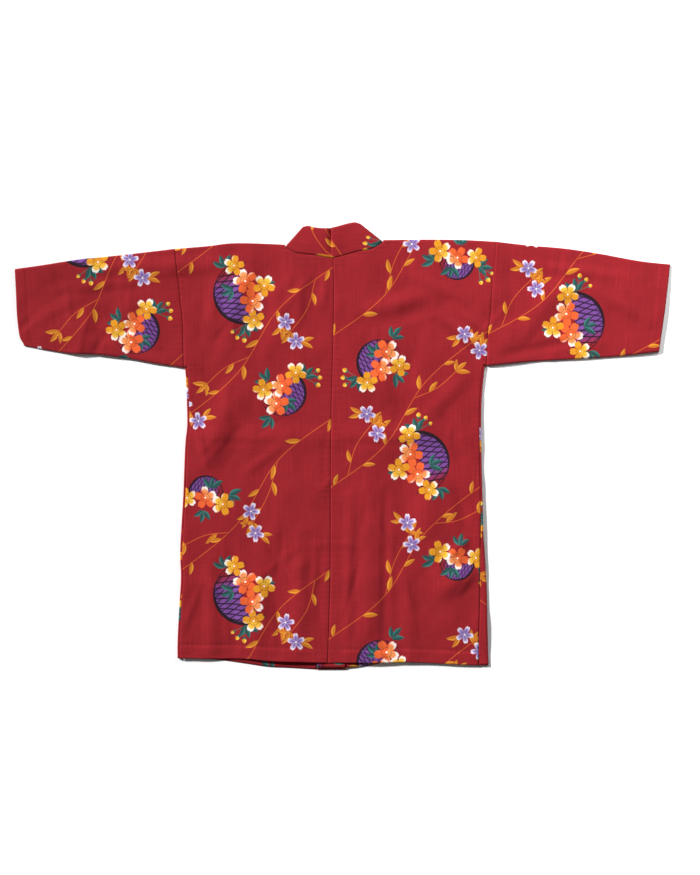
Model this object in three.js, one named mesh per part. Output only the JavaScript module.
import * as THREE from 'three';

// A yukata jacket laid out flat with its back up. Millimetres, +Z up. Every table below is measured from
// the back of the neck: x from the centre-back seam, positive towards the wearer's right, and y from the
// shoulder line, positive towards the collar. z is the height above the table that the jacket lies on.

// ---- Cloth ----
const WALL = 1.2; // one layer of cotton
const HEM_WALL = 1.8; // a turned-up hem or cuff, two layers pressed together
const HEM_ROWS = 2; // rows of a piece's grid that are hem: the edge and the stitch line
const BAND_WALL = 2; // the collar band, folded along its length
const HEM_DEPTH = 25;
const CUFF_DEPTH = 20;
const SEAM_GAP = 0.3; // what is left between two pieces that are sewn to each other
const CLOTH = { color: 0x9d292f, roughness: 0.85, metalness: 0 };

// ---- How the layers lie on each other ----
const BAND_RISE = BAND_WALL + SEAM_GAP; // how far the right collar band is lifted by the left one
const RISE_FROM_Y = -110; // the right band starts to climb here, and has climbed at RISE_TO_Y
const RISE_TO_Y = -230;
const RISE_REACH = 45; // width of the right front that climbs with its band
const TOP = 5; // middle of the layer on top, over plain cloth
const TOP_OVER_BANDS = 1.2; // added over the collar bands
const BANDS_HALF_WIDTH = 60;
const BANDS_SHOULDER = 90; // the rise dies away over this width
const EDGE_DROOP = 1; // the top layer sinks this much at the hem and at the cuffs
const DROOP_REACH = 45;
const HEM_LINE_Y = -797;
const ROLL = 2.4; // depth of the round edge where cloth turns under

// ---- How finely each piece is divided ----
const FLAT_STEPS = 10;
const WRAP_STEPS = 4;
const ACROSS = FLAT_STEPS + WRAP_STEPS;
const SIDE_STEPS = 16;
const ARMHOLE_STEPS = 10;
const ROLL_STEPS = 4;
const NECK_STEPS = 6;
const CENTRE_STEPS = SIDE_STEPS + ARMHOLE_STEPS - NECK_STEPS;
const CROWD_STEPS = 6; // rows below the shoulder over which the columns crowd out to the armhole
const EDGE_STRIP = 3; // the strip at the armhole that the wrapped columns share
const SLEEVE_STEPS = 12;
const BAND_ACROSS = 4;
const UNDERARM_STEP = 4;

// ---- Outlines of the two halves, which share the centre-back seam ----
const CENTRE_SEAM = [
  { x: -6.5, y: -797 },
  { x: -2, y: -633 },
  { x: -0.8, y: -357 },
  { x: 3, y: -200 },
  { x: 5, y: -100 },
  { x: 3.5, y: -29.5 },
];
const HALVES = {
  left: {
    side: -1,
    neck: [
      { x: 3.5, y: -29.5 },
      { x: -10, y: -28.5 },
      { x: -29, y: -24 },
      { x: -54, y: -21.5 },
      { x: -74, y: -17.5 },
      { x: -88, y: -6.4 },
    ],
    shoulder: [
      { x: -88, y: -6.4 },
      { x: -110, y: -5 },
      { x: -189, y: -3.4 },
      { x: -231, y: -8.4 },
      { x: -297, y: -14 },
    ],
    armhole: [
      { x: -297, y: -14 },
      { x: -290.5, y: -68 },
      { x: -287, y: -103 },
      { x: -282, y: -146 },
      { x: -281, y: -194 },
      { x: -280, y: -234.6 },
    ],
    // The edge is where the front turns over to the back; margin is how far in from it the seam lies.
    sides: [
      { y: -234.6, edge: -278.6, margin: 4 },
      { y: -245, edge: -277, margin: 4 },
      { y: -296, edge: -274.6, margin: 4 },
      { y: -346, edge: -273.6, margin: 4 },
      { y: -380, edge: -277, margin: 4 },
      { y: -476, edge: -281, margin: 4 },
      { y: -591, edge: -287, margin: 4 },
      { y: -633, edge: -285.5, margin: 4 },
      { y: -697, edge: -289, margin: 4 },
      { y: -760, edge: -292, margin: 4 },
      { y: -788.5, edge: -292, margin: 4 },
    ],
    backHem: [
      { x: -6.5, y: -797 },
      { x: -60, y: -795.7 },
      { x: -121, y: -793.6 },
      { x: -159, y: -790 },
      { x: -222, y: -789.6 },
      { x: -288, y: -788.5 },
    ],
    frontHem: [
      { x: -28, y: -810 },
      { x: -81, y: -807 },
      { x: -121, y: -805 },
      { x: -162, y: -799 },
      { x: -214, y: -792 },
      { x: -289.6, y: -788.5 },
    ],
    // Where the collar band is sewn to the front, from the neck point down.
    bandSeam: [
      { x: -88, y: -6.4 },
      { x: -58, y: -215 },
      { x: -30, y: -400 },
      { x: -28, y: -460 },
      { x: -28, y: -810 },
    ],
  },
  right: {
    side: 1,
    neck: [
      { x: 3.5, y: -29.5 },
      { x: 22, y: -25 },
      { x: 48.5, y: -17.5 },
      { x: 69, y: -14 },
      { x: 86.5, y: -6.5 },
      { x: 98, y: 2.6 },
    ],
    shoulder: [
      { x: 98, y: 2.6 },
      { x: 168, y: 3.6 },
      { x: 254, y: 2.6 },
      { x: 312, y: -0.4 },
    ],
    armhole: [
      { x: 312, y: -0.4 },
      { x: 311, y: -28 },
      { x: 307, y: -59 },
      { x: 304, y: -104 },
      { x: 302, y: -137 },
      { x: 297, y: -171 },
      { x: 295.5, y: -205 },
      { x: 294.5, y: -231 },
    ],
    sides: [
      { y: -231, edge: 292.5, margin: 3 },
      { y: -239, edge: 290.5, margin: 3 },
      { y: -307, edge: 284.6, margin: 3 },
      { y: -427, edge: 285, margin: 3 },
      { y: -488, edge: 286.5, margin: 3.5 },
      { y: -548, edge: 288, margin: 5 },
      { y: -609, edge: 292, margin: 10 },
      { y: -670, edge: 295, margin: 13 },
      { y: -730, edge: 296, margin: 16 },
      { y: -802, edge: 298, margin: 19 },
    ],
    backHem: [
      { x: -6.5, y: -797 },
      { x: 100, y: -797 },
      { x: 130, y: -795.7 },
      { x: 174, y: -797 },
      { x: 240, y: -800.5 },
      { x: 279, y: -802 },
    ],
    frontHem: [
      { x: 28, y: -806.5 },
      { x: 50, y: -805.6 },
      { x: 76, y: -802.6 },
      { x: 100, y: -797 },
      { x: 174, y: -796 },
      { x: 295.6, y: -802 },
    ],
    bandSeam: [
      { x: 98, y: 2.6 },
      { x: 62, y: -215 },
      { x: 30, y: -400 },
      { x: 28, y: -460 },
      { x: 28, y: -806.5 },
    ],
  },
};

// ---- Sleeves: flat tubes, from the cuff to the armhole ----
const SLEEVES = {
  left: {
    top: [
      { x: -600, y: -52.4 },
      { x: -550, y: -45.4 },
      { x: -479, y: -34.4 },
      { x: -421, y: -28.4 },
      { x: -297, y: -14 },
    ],
    bottom: [
      { x: -584, y: -192.6 },
      { x: -535, y: -201.6 },
      { x: -494, y: -207.6 },
      { x: -444, y: -209.6 },
      { x: -383, y: -217.6 },
      { x: -338, y: -225.6 },
      { x: -280, y: -234.6 },
    ],
    cuff: [
      { x: -600, y: -52.4 },
      { x: -598, y: -99 },
      { x: -596, y: -146 },
      { x: -591, y: -180 },
      { x: -584, y: -192.6 },
    ],
  },
  right: {
    top: [
      { x: 643, y: -43.4 },
      { x: 586, y: -37.4 },
      { x: 510, y: -23.4 },
      { x: 441, y: -13.4 },
      { x: 373, y: -7.4 },
      { x: 312, y: -0.4 },
    ],
    bottom: [
      { x: 622, y: -204 },
      { x: 544, y: -212.6 },
      { x: 485, y: -216.6 },
      { x: 374, y: -223 },
      { x: 294.5, y: -231 },
    ],
    cuff: [
      { x: 643, y: -43.4 },
      { x: 633, y: -125 },
      { x: 622, y: -204 },
    ],
  },
};

// ---- Collar: one folded band, up the left front, round the neck and down the right front ----
const COLLAR_TOP = [
  { x: -53, y: 30, z: 4.4 },
  { x: -45, y: 32, z: 4.8 },
  { x: -33, y: 29, z: 6.4 },
  { x: -15, y: 27.3, z: 7.6 },
  { x: 0, y: 28.3, z: 4.6 },
  { x: 10, y: 30.5, z: 8 },
  { x: 34, y: 37, z: 6.4 },
  { x: 46, y: 38.5, z: 4.8 },
  { x: 53, y: 36, z: 4.4 },
];
const BAND_ENDS = {
  left: { seamX: -84, seamY: -8, freeX: -53, freeY: 30, crossX: 28, crossY: -420, hemY: -810 },
  right: { seamX: 94.5, seamY: 0.5, freeX: 53, freeY: 36, crossX: -28, crossY: -420, hemY: -806.5 },
};
const BAND_TURN_ROWS = 4; // rows over which the band's slanted fold becomes a square crossing

// ---- The largest folds of the top layer: a row each, with the line of the crest ----
const FOLDS = [
  { fromX: -174, fromY: -283, toX: -255, toY: -437, width: 34, height: 8 },
  { fromX: -151, fromY: -36, toX: -199, toY: -160, width: 30, height: 4 },
  { fromX: -455, fromY: -50, toX: -190, toY: -42, width: 26, height: 3.5 },
  { fromX: 185, fromY: -104, toX: 64, toY: -140, width: 32, height: 5 },
  { fromX: 200, fromY: -128, toX: 286, toY: -212, width: 28, height: 5 },
  { fromX: -262, fromY: -369, toX: 170, toY: -369, width: 28, height: 3 },
  { fromX: 166, fromY: -478, toX: 186, toY: -566, width: 44, height: 5 },
  { fromX: -130, fromY: -560, toX: -138, toY: -782, width: 28, height: 3.2 },
  { fromX: -58, fromY: -550, toX: -62, toY: -782, width: 26, height: 3 },
  { fromX: 272, fromY: -624, toX: 204, toY: -662, width: 28, height: 4 },
  { fromX: 74, fromY: -470, toX: 66, toY: -760, width: 30, height: 2.6 },
  { fromX: 330, fromY: -190, toX: 470, toY: -60, width: 34, height: 3 },
  { fromX: -330, fromY: -180, toX: -420, toY: -90, width: 32, height: 2.6 },
];
const FOLD_END = 0.12; // part of the half wave that a fold has already risen through at its ends

const ease = (t) => THREE.MathUtils.smoothstep(t, 0, 1);
const mix = THREE.MathUtils.lerp;

/** Height that one fold adds at a point: a round ridge that sinks towards both its ends. */
function foldHeight({ fromX, fromY, toX, toY, width, height }, x, y) {
  const run = new THREE.Vector2(toX - fromX, toY - fromY);
  const at = new THREE.Vector2(x - fromX, y - fromY);
  const along = at.dot(run) / run.lengthSq();
  const part = THREE.MathUtils.clamp(along, 0, 1);
  const off = at.distanceTo(run.multiplyScalar(part));
  const crest = Math.sin(Math.PI * mix(FOLD_END, 1 - FOLD_END, part));
  return height * crest * ease(1 - off / width);
}

/** 1 over the collar bands under the centre of the back, falling to 0 at their sides. */
function overBands(x) {
  return ease((BANDS_HALF_WIDTH + BANDS_SHOULDER - Math.abs(x)) / BANDS_SHOULDER);
}

/** Height of the middle of the top layer. */
function topHeight(x, y) {
  const droop = EDGE_DROOP * ease((HEM_LINE_Y + DROOP_REACH - y) / DROOP_REACH) * (1 - overBands(x));
  const folds = FOLDS.reduce((sum, fold) => sum + foldHeight(fold, x, y), 0);
  return TOP + TOP_OVER_BANDS * overBands(x) - droop + folds;
}

/** How far the right collar band has climbed onto the left one. */
function bandClimb(y) {
  return BAND_RISE * ease((RISE_FROM_Y - y) / (RISE_FROM_Y - RISE_TO_Y));
}

/** Height of the middle of cloth that lies on the table, a hem being thicker. */
function lowHeight(isHem) {
  return (isHem ? HEM_WALL : WALL) / 2;
}

/** How far a front climbs towards its band, which only the right one does. */
function frontClimb(half, seamX, x, y) {
  return half.side < 0 ? 0 : bandClimb(y) * ease(1 - (x - seamX) / RISE_REACH);
}

/** A smooth line through a table's rows. */
function lineThrough(rows) {
  const points = rows.map(({ x, y, z = 0 }) => new THREE.Vector3(x, y, z));
  return new THREE.CatmullRomCurve3(points, false, 'centripetal');
}

/** Points along a table's line: equal steps, but for a first and a last step of a given length. */
function stepAlong(rows, steps, first = 0, last = 0) {
  const line = lineThrough(rows);
  const length = line.getLength();
  const start = first ? 1 : 0;
  const end = last ? steps - 1 : steps;
  return Array.from({ length: steps + 1 }, (_, i) => {
    if (i < start || i > end) {
      return line.getPointAt(i ? 1 : 0);
    }
    const part = (i - start) / (end - start);
    return line.getPointAt(mix(first / length, 1 - last / length, part));
  });
}

/** How far along a list of points each one lies, from 0 to 1. */
function partsAlong(points) {
  const lengths = [0];
  points.slice(1).forEach((point, i) => lengths.push(lengths[i] + point.distanceTo(points[i])));
  return lengths.map((length) => length / lengths.at(-1));
}

/** A point of a panel that is stretched between its hem, its top edge and its two long edges. */
function panelPoint({ hem, top, inner, outer, rise }, row, across) {
  const v = rise[row];
  const between = (a, b, part) => a.clone().lerp(b, part);
  const ends = between(hem(across), top(across), v);
  const edges = between(inner[row], outer[row], across);
  const corners = between(
    between(hem(0), hem(1), across),
    between(top(0), top(1), across),
    v,
  );
  return ends.add(edges).sub(corners);
}

/** Points of a half circle in cloth that turns under: from the top layer round to the low one. */
function rollPoints(topPoint, lowPoint, outward) {
  const middle = topPoint.clone().add(lowPoint).multiplyScalar(0.5);
  const up = topPoint.clone().sub(middle);
  return Array.from({ length: ROLL_STEPS - 1 }, (_, i) => {
    const angle = (Math.PI * (i + 1)) / ROLL_STEPS;
    const point = middle.clone().addScaledVector(up, Math.cos(angle));
    return point.addScaledVector(outward, ROLL * Math.sin(angle));
  });
}

/** Rows of the side, from the underarm down: where the cloth turns and where the seam lies. */
function sideRows(half) {
  const edges = half.sides.map(({ edge, y }) => ({ x: edge, y }));
  const seams = half.sides.map(({ edge, margin, y }) => ({ x: edge - half.side * margin, y }));
  return {
    edge: stepAlong(edges, SIDE_STEPS, UNDERARM_STEP, HEM_DEPTH),
    seam: stepAlong(seams, SIDE_STEPS, UNDERARM_STEP, HEM_DEPTH),
  };
}

/** Columns that stand close together in the strip at the armhole. */
function crowdedColumn(column, strip) {
  if (column <= FLAT_STEPS) {
    return (column / FLAT_STEPS) * (1 - strip);
  }
  return 1 - strip + (strip * (column - FLAT_STEPS)) / WRAP_STEPS;
}

/** Rows of the back, from the hem to the shoulder, each from the centre seam out to the side. */
function backRows(half, armhole, side) {
  const centre = stepAlong(CENTRE_SEAM, CENTRE_STEPS, HEM_DEPTH);
  const neck = stepAlong(half.neck, NECK_STEPS);
  const outer = [...side.seam.toReversed().slice(0, -1), ...armhole.toReversed()];
  const hem = lineThrough(half.backHem);
  const shoulder = lineThrough(half.shoulder);
  const panel = {
    hem: (part) => hem.getPointAt(part),
    top: (part) => shoulder.getPointAt(part),
    inner: [...centre, ...neck.slice(1)],
    outer,
    rise: partsAlong(outer),
  };
  const strip = EDGE_STRIP / shoulder.getLength();
  return outer.map((_, row) => {
    const crowded = ease((row - outer.length + 1 + CROWD_STEPS) / CROWD_STEPS);
    return Array.from({ length: ACROSS + 1 }, (_unused, column) => {
      const across = mix(column / ACROSS, crowdedColumn(column, strip), crowded);
      const point = panelPoint(panel, row, across);
      point.x += (half.side * SEAM_GAP * (1 - across)) / 2;
      point.z = topHeight(point.x, point.y);
      return point;
    });
  });
}

/** Rows of the front, from the shoulder to the hem, each from the band seam out and up round the side. */
function frontRows(half, armhole, side) {
  const out = new THREE.Vector3(half.side, 0, 0);
  const shoulder = lineThrough(half.shoulder);
  const hem = lineThrough(half.frontHem);
  const strip = EDGE_STRIP / shoulder.getLength();
  const armholeEnds = armhole.map((point) => point.clone().addScaledVector(out, -EDGE_STRIP));
  const sideEnds = side.edge.slice(1).map((point) => point.clone().addScaledVector(out, -ROLL));
  const outer = [...armholeEnds, ...sideEnds];
  const panel = {
    hem: (part) => shoulder.getPointAt(part * (1 - strip)),
    top: (part) => hem.getPointAt(part),
    inner: stepAlong(half.bandSeam, ARMHOLE_STEPS + SIDE_STEPS, 0, HEM_DEPTH),
    outer,
    rise: partsAlong(outer),
  };
  return outer.map((_, row) => {
    const seamX = panel.inner[row].x;
    const flat = Array.from({ length: FLAT_STEPS + 1 }, (_unused, column) => {
      const point = panelPoint(panel, row, column / FLAT_STEPS);
      point.z = lowHeight(row >= outer.length - HEM_ROWS) + frontClimb(half, seamX, point.x, point.y);
      return point;
    });
    const turn = flat.at(-1);
    return [...flat, ...wrapPoints(turn, armhole[row], side.seam[row - ARMHOLE_STEPS], out)];
  });
}

/** The last columns of a front's row: flat to the armhole, or round the side and in to the seam. */
function wrapPoints(turn, armholePoint, seamPoint, out) {
  if (armholePoint) {
    return Array.from({ length: WRAP_STEPS }, (_, i) => {
      return turn.clone().addScaledVector(out, (EDGE_STRIP * (i + 1)) / WRAP_STEPS);
    });
  }
  const end = seamPoint.clone().addScaledVector(out, SEAM_GAP);
  end.z = topHeight(seamPoint.x, seamPoint.y);
  const over = turn.clone();
  over.z = end.z;
  return [...rollPoints(turn, over, out), end];
}

/** Both faces of a wall: every grid point moved half the thickness to each side along the normal. */
function wallPositions(grid, thickness, ring) {
  const columns = grid[0].length;
  const at = (row, column) => {
    const r = THREE.MathUtils.clamp(row, 0, grid.length - 1);
    const c = ring ? (column + columns) % columns : THREE.MathUtils.clamp(column, 0, columns - 1);
    return grid[r][c];
  };
  const face = (way) => grid.flatMap((line, r) => line.flatMap((point, c) => {
    const across = at(r, c + 1).clone().sub(at(r, c - 1));
    const along = at(r + 1, c).clone().sub(at(r - 1, c));
    const normal = across.cross(along).normalize();
    return point.clone().addScaledVector(normal, (way * thickness(r)) / 2).toArray();
  }));
  return [...face(1), ...face(-1)];
}

/** Corners of a wall's triangles: its two faces, the rims of its ends and, on a sheet, of its sides. */
function wallIndex(rows, columns, ring) {
  const span = ring ? columns : columns - 1;
  const outer = (r, c) => r * columns + (c % columns);
  const inner = (r, c) => rows * columns + outer(r, c);
  const index = [];
  const quad = (a, b, c, d) => index.push(a, b, c, a, c, d);
  for (let r = 0; r < rows - 1; r += 1) {
    for (let c = 0; c < span; c += 1) {
      quad(outer(r, c), outer(r, c + 1), outer(r + 1, c + 1), outer(r + 1, c));
      quad(inner(r, c), inner(r + 1, c), inner(r + 1, c + 1), inner(r, c + 1));
    }
  }
  for (let c = 0; c < span; c += 1) {
    quad(outer(0, c + 1), outer(0, c), inner(0, c), inner(0, c + 1));
    quad(outer(rows - 1, c), outer(rows - 1, c + 1), inner(rows - 1, c + 1), inner(rows - 1, c));
  }
  for (let r = 0; !ring && r < rows - 1; r += 1) {
    quad(outer(r, 0), outer(r + 1, 0), inner(r + 1, 0), inner(r, 0));
    quad(outer(r + 1, span), outer(r, span), inner(r, span), inner(r + 1, span));
  }
  return index;
}

/** A geometry whose faces point out, whichever way round its grid was laid. */
function closedGeometry(positions, index) {
  const corner = (i) => new THREE.Vector3().fromArray(positions, index[i] * 3);
  let volume = 0;
  for (let i = 0; i < index.length; i += 3) {
    volume += corner(i).dot(corner(i + 1).cross(corner(i + 2)));
  }
  const geometry = new THREE.BufferGeometry();
  geometry.setAttribute('position', new THREE.Float32BufferAttribute(positions, 3));
  geometry.setIndex(volume > 0 ? index : index.toReversed());
  geometry.computeVertexNormals();
  return geometry;
}

/** A closed wall round a grid of points. A ring's last column joins its first. */
function wallGeometry(grid, thickness, ring = false) {
  const positions = wallPositions(grid, thickness, ring);
  return closedGeometry(positions, wallIndex(grid.length, grid[0].length, ring));
}

function piece(name, geometry) {
  const mesh = new THREE.Mesh(geometry, new THREE.MeshStandardMaterial(CLOTH));
  mesh.name = name;
  return mesh;
}

/** One body length: the back, over the shoulder, and the front down to its hem. */
function bodyPiece(name, half) {
  const armhole = stepAlong(half.armhole, ARMHOLE_STEPS);
  const side = sideRows(half);
  const back = backRows(half, armhole, side);
  const front = frontRows(half, armhole, side);
  const over = new THREE.Vector3(0, 1, 0);
  const rolls = back.at(-1).map((point, column) => rollPoints(point, front[0][column], over));
  const shoulder = Array.from({ length: ROLL_STEPS - 1 }, (_, i) => rolls.map((points) => points[i]));
  const grid = [...back, ...shoulder, ...front];
  const isHem = (row) => row < HEM_ROWS || row >= grid.length - HEM_ROWS;
  return piece(name, wallGeometry(grid, (row) => (isHem(row) ? HEM_WALL : WALL)));
}

/** One sleeve: a flat tube whose inner end follows the armhole. */
function sleevePiece(name, half, sleeve) {
  const armhole = stepAlong(half.armhole, ARMHOLE_STEPS);
  const armholeLine = lineThrough(half.armhole);
  const cuffLine = lineThrough(sleeve.cuff);
  const top = stepAlong(sleeve.top, SLEEVE_STEPS, CUFF_DEPTH);
  const panel = {
    hem: (part) => cuffLine.getPointAt(part),
    top: (part) => armholeLine.getPointAt(part),
    inner: top,
    outer: stepAlong(sleeve.bottom, SLEEVE_STEPS, CUFF_DEPTH),
    rise: partsAlong(top),
  };
  const down = new THREE.Vector3(0, -1, 0);
  const upward = new THREE.Vector3(0, 1, 0);
  const rings = top.map((_, row) => {
    const low = armhole.map((_unused, column) => {
      const point = panelPoint(panel, row, column / ARMHOLE_STEPS);
      point.x += half.side * SEAM_GAP;
      point.z = lowHeight(row < HEM_ROWS);
      return point;
    });
    const high = low.map((point) => {
      const fromCuff = Math.abs(point.x - panelPoint(panel, 0, 0).x);
      const raised = point.clone();
      raised.z = topHeight(point.x, point.y) - EDGE_DROOP * ease(1 - fromCuff / DROOP_REACH);
      return raised;
    });
    return [
      ...high.toReversed(),
      ...rollPoints(high[0], low[0], upward),
      ...low,
      ...rollPoints(low.at(-1), high.at(-1), down),
    ];
  });
  return piece(name, wallGeometry(rings, (row) => (row < HEM_ROWS ? HEM_WALL : WALL), true));
}

/** Points moved a little to one side of the line that they make, seen from above. */
function movedAside(points, distance) {
  return points.map((point, i) => {
    const before = points[Math.max(i - 1, 0)];
    const after = points[Math.min(i + 1, points.length - 1)];
    const aside = new THREE.Vector3(before.y - after.y, after.x - before.x, 0).normalize();
    return point.clone().addScaledVector(aside, distance);
  });
}

/** Crossings of the band on one front, from the neck to the hem: its seam edge and its free edge. */
function bandOnFront(half, ends) {
  const rows = stepAlong(half.bandSeam, ARMHOLE_STEPS + SIDE_STEPS, 0, HEM_DEPTH);
  const seam = movedAside(rows, -half.side * SEAM_GAP);
  seam[0] = new THREE.Vector3(ends.seamX, ends.seamY, 0);
  const slant = ends.freeY - ends.seamY;
  return seam.map((point, row) => {
    const y = Math.max(point.y + slant * Math.max(1 - row / BAND_TURN_ROWS, 0), ends.hemY);
    const down = THREE.MathUtils.clamp((ends.freeY - y) / (ends.freeY - ends.crossY), 0, 1);
    const free = new THREE.Vector3(mix(ends.freeX, ends.crossX, down), y, 0);
    const lift = half.side > 0 ? bandClimb(point.y) : 0;
    point.z = BAND_WALL / 2 + lift;
    free.z = BAND_WALL / 2 + lift;
    return { seam: point, free };
  });
}

/** Crossings of the band round the back of the neck, from the wearer's left to the right. */
function bandAtNeck() {
  const left = movedAside(stepAlong(HALVES.left.neck, NECK_STEPS), -SEAM_GAP);
  const right = movedAside(stepAlong(HALVES.right.neck, NECK_STEPS), SEAM_GAP);
  const seam = [...left.toReversed().slice(0, -1), ...right];
  seam[0].set(BAND_ENDS.left.seamX, BAND_ENDS.left.seamY, 0);
  seam.at(-1).set(BAND_ENDS.right.seamX, BAND_ENDS.right.seamY, 0);
  const free = stepAlong(COLLAR_TOP, 2 * NECK_STEPS);
  return seam.map((point, i) => {
    point.z = topHeight(point.x, point.y);
    return { seam: point, free: free[i] };
  });
}

/** Crossings where the band turns under at a shoulder, along a slanted fold. */
function bandTurn(above, below, side) {
  const outward = above.free.clone().sub(above.seam);
  outward.set(side * Math.abs(outward.y), Math.abs(outward.x), 0).normalize();
  const seam = rollPoints(above.seam, below.seam, outward);
  const free = rollPoints(above.free, below.free, outward);
  return seam.map((point, i) => ({ seam: point, free: free[i] }));
}

function collarPiece(name) {
  const left = bandOnFront(HALVES.left, BAND_ENDS.left);
  const neck = bandAtNeck();
  const right = bandOnFront(HALVES.right, BAND_ENDS.right);
  const crossings = [
    ...left.toReversed(),
    ...bandTurn(neck[0], left[0], -1).toReversed(),
    ...neck,
    ...bandTurn(neck.at(-1), right[0], 1),
    ...right,
  ];
  const grid = crossings.map(({ seam, free }) => {
    return Array.from({ length: BAND_ACROSS + 1 }, (_, i) => seam.clone().lerp(free, i / BAND_ACROSS));
  });
  return piece(name, wallGeometry(grid, () => BAND_WALL));
}

/** Stands a group on the table with the middle of its outline over the origin. */
function centred(group) {
  const box = new THREE.Box3().setFromObject(group);
  const middle = box.getCenter(new THREE.Vector3());
  group.position.set(-middle.x, -middle.y, -box.min.z);
  return group;
}

const garment = new THREE.Group();
garment.add(
  bodyPiece('body_left', HALVES.left),
  bodyPiece('body_right', HALVES.right),
  sleevePiece('sleeve_left', HALVES.left, SLEEVES.left),
  sleevePiece('sleeve_right', HALVES.right, SLEEVES.right),
  collarPiece('collar'),
);

const jacket = new THREE.Group();
jacket.add(centred(garment));

export default jacket;
